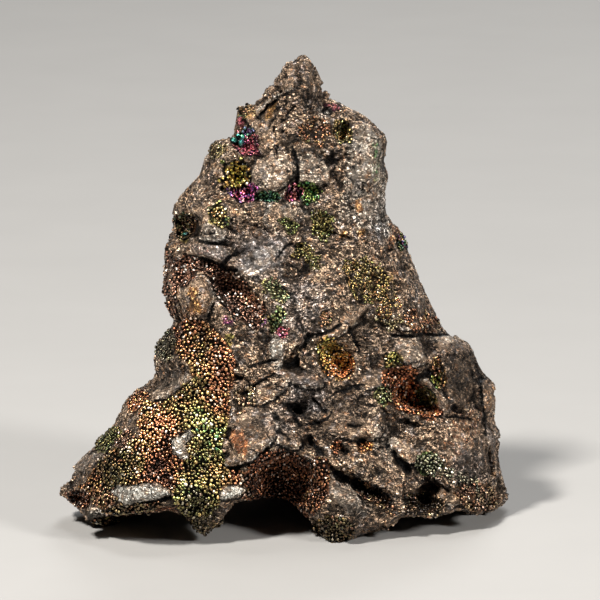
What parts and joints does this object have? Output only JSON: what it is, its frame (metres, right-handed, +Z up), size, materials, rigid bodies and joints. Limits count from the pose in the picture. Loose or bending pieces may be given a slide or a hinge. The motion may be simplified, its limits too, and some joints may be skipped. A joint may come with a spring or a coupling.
{
  "type": "turgite specimen",
  "caption": "Free-standing broken piece of dark iron ore that tapers to a peak, with a pitted front, beaded iridescent crust in its hollows, and feet that it stands on.",
  "frame": {"origin": "the middle of the bounding box of the specimen, on the surface that it stands on", "axes": "+Z up, +X to the right and -Y out of the pitted front"},
  "size_m": [0.1016, 0.0636, 0.1066],
  "materials": {
    "ore": "rough broken iron ore, grey-brown with a dull metallic sheen",
    "crust": "glossy beaded crust with an iridescent tarnish of gold, green, orange and red"
  },
  "bodies": {
    "root": {"specimen": "ore"}
  },
  "joints": []
}
